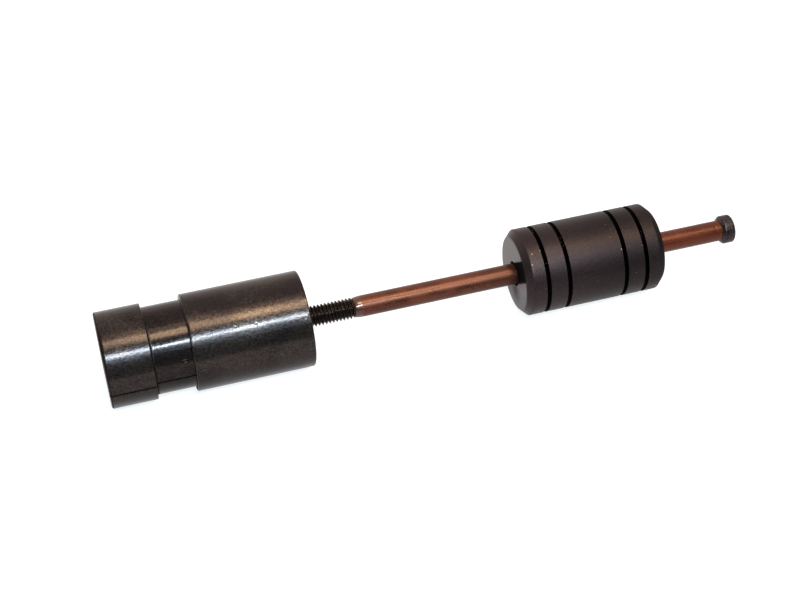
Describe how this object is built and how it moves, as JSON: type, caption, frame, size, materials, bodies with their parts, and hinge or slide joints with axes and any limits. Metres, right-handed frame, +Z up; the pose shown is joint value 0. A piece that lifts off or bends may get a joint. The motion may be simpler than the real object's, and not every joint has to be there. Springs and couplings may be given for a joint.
{
  "type": "injector puller",
  "caption": "Slide-hammer injector puller: split collet jaws held shut by a clamping sleeve that screws along a threaded rod, with a grooved sliding weight and a stop head.",
  "frame": {"origin": "centre of the jaw mouth, on the tool's axis at the gripping bore's outer end", "axes": "+X along the rod from the jaw mouth to the stop head, +Z up as the tool lies, the saw cut between the jaws in the XY plane"},
  "size_m": [0.2898, 0.0426, 0.0426],
  "materials": {
    "jaw_steel": "black oxide over turned steel",
    "sleeve_steel": "black oxide over turned steel, rubbed along the top",
    "rod_steel": "copper-brown oxide",
    "anchor_steel": "plain turned steel",
    "pin_steel": "spring steel",
    "head_steel": "black oxide",
    "hammer_steel": "brown-black oxide with small dings"
  },
  "bodies": {
    "jaws": {"jaw_upper": "jaw_steel", "jaw_lower": "jaw_steel"},
    "sleeve": {"clamp_sleeve": "sleeve_steel"},
    "rod": {"puller_rod": "rod_steel", "anchor_flange": "anchor_steel", "flange_pin": "pin_steel", "stop_head": "head_steel"},
    "hammer": {"slide_hammer": "hammer_steel"}
  },
  "joints": [
    {"name": "rod_turn", "type": "hinge", "parent": "jaws", "child": "rod", "pos_m": [0.05, 0, 0], "axis": [1, 0, 0], "range_deg": [-4620, 3830]},
    {"name": "sleeve_slide", "type": "slide", "parent": "jaws", "child": "sleeve", "axis": [1, 0, 0], "range_m": [-0.0169, 0.0204]},
    {"name": "hammer_slide", "type": "slide", "parent": "rod", "child": "hammer", "axis": [1, 0, 0], "range_m": [-0.0757, 0.0335]}
  ],
  "couplings": [
    {"joint": "sleeve_slide", "follows": "rod_turn", "m_per_rad": -0.00025266}
  ]
}
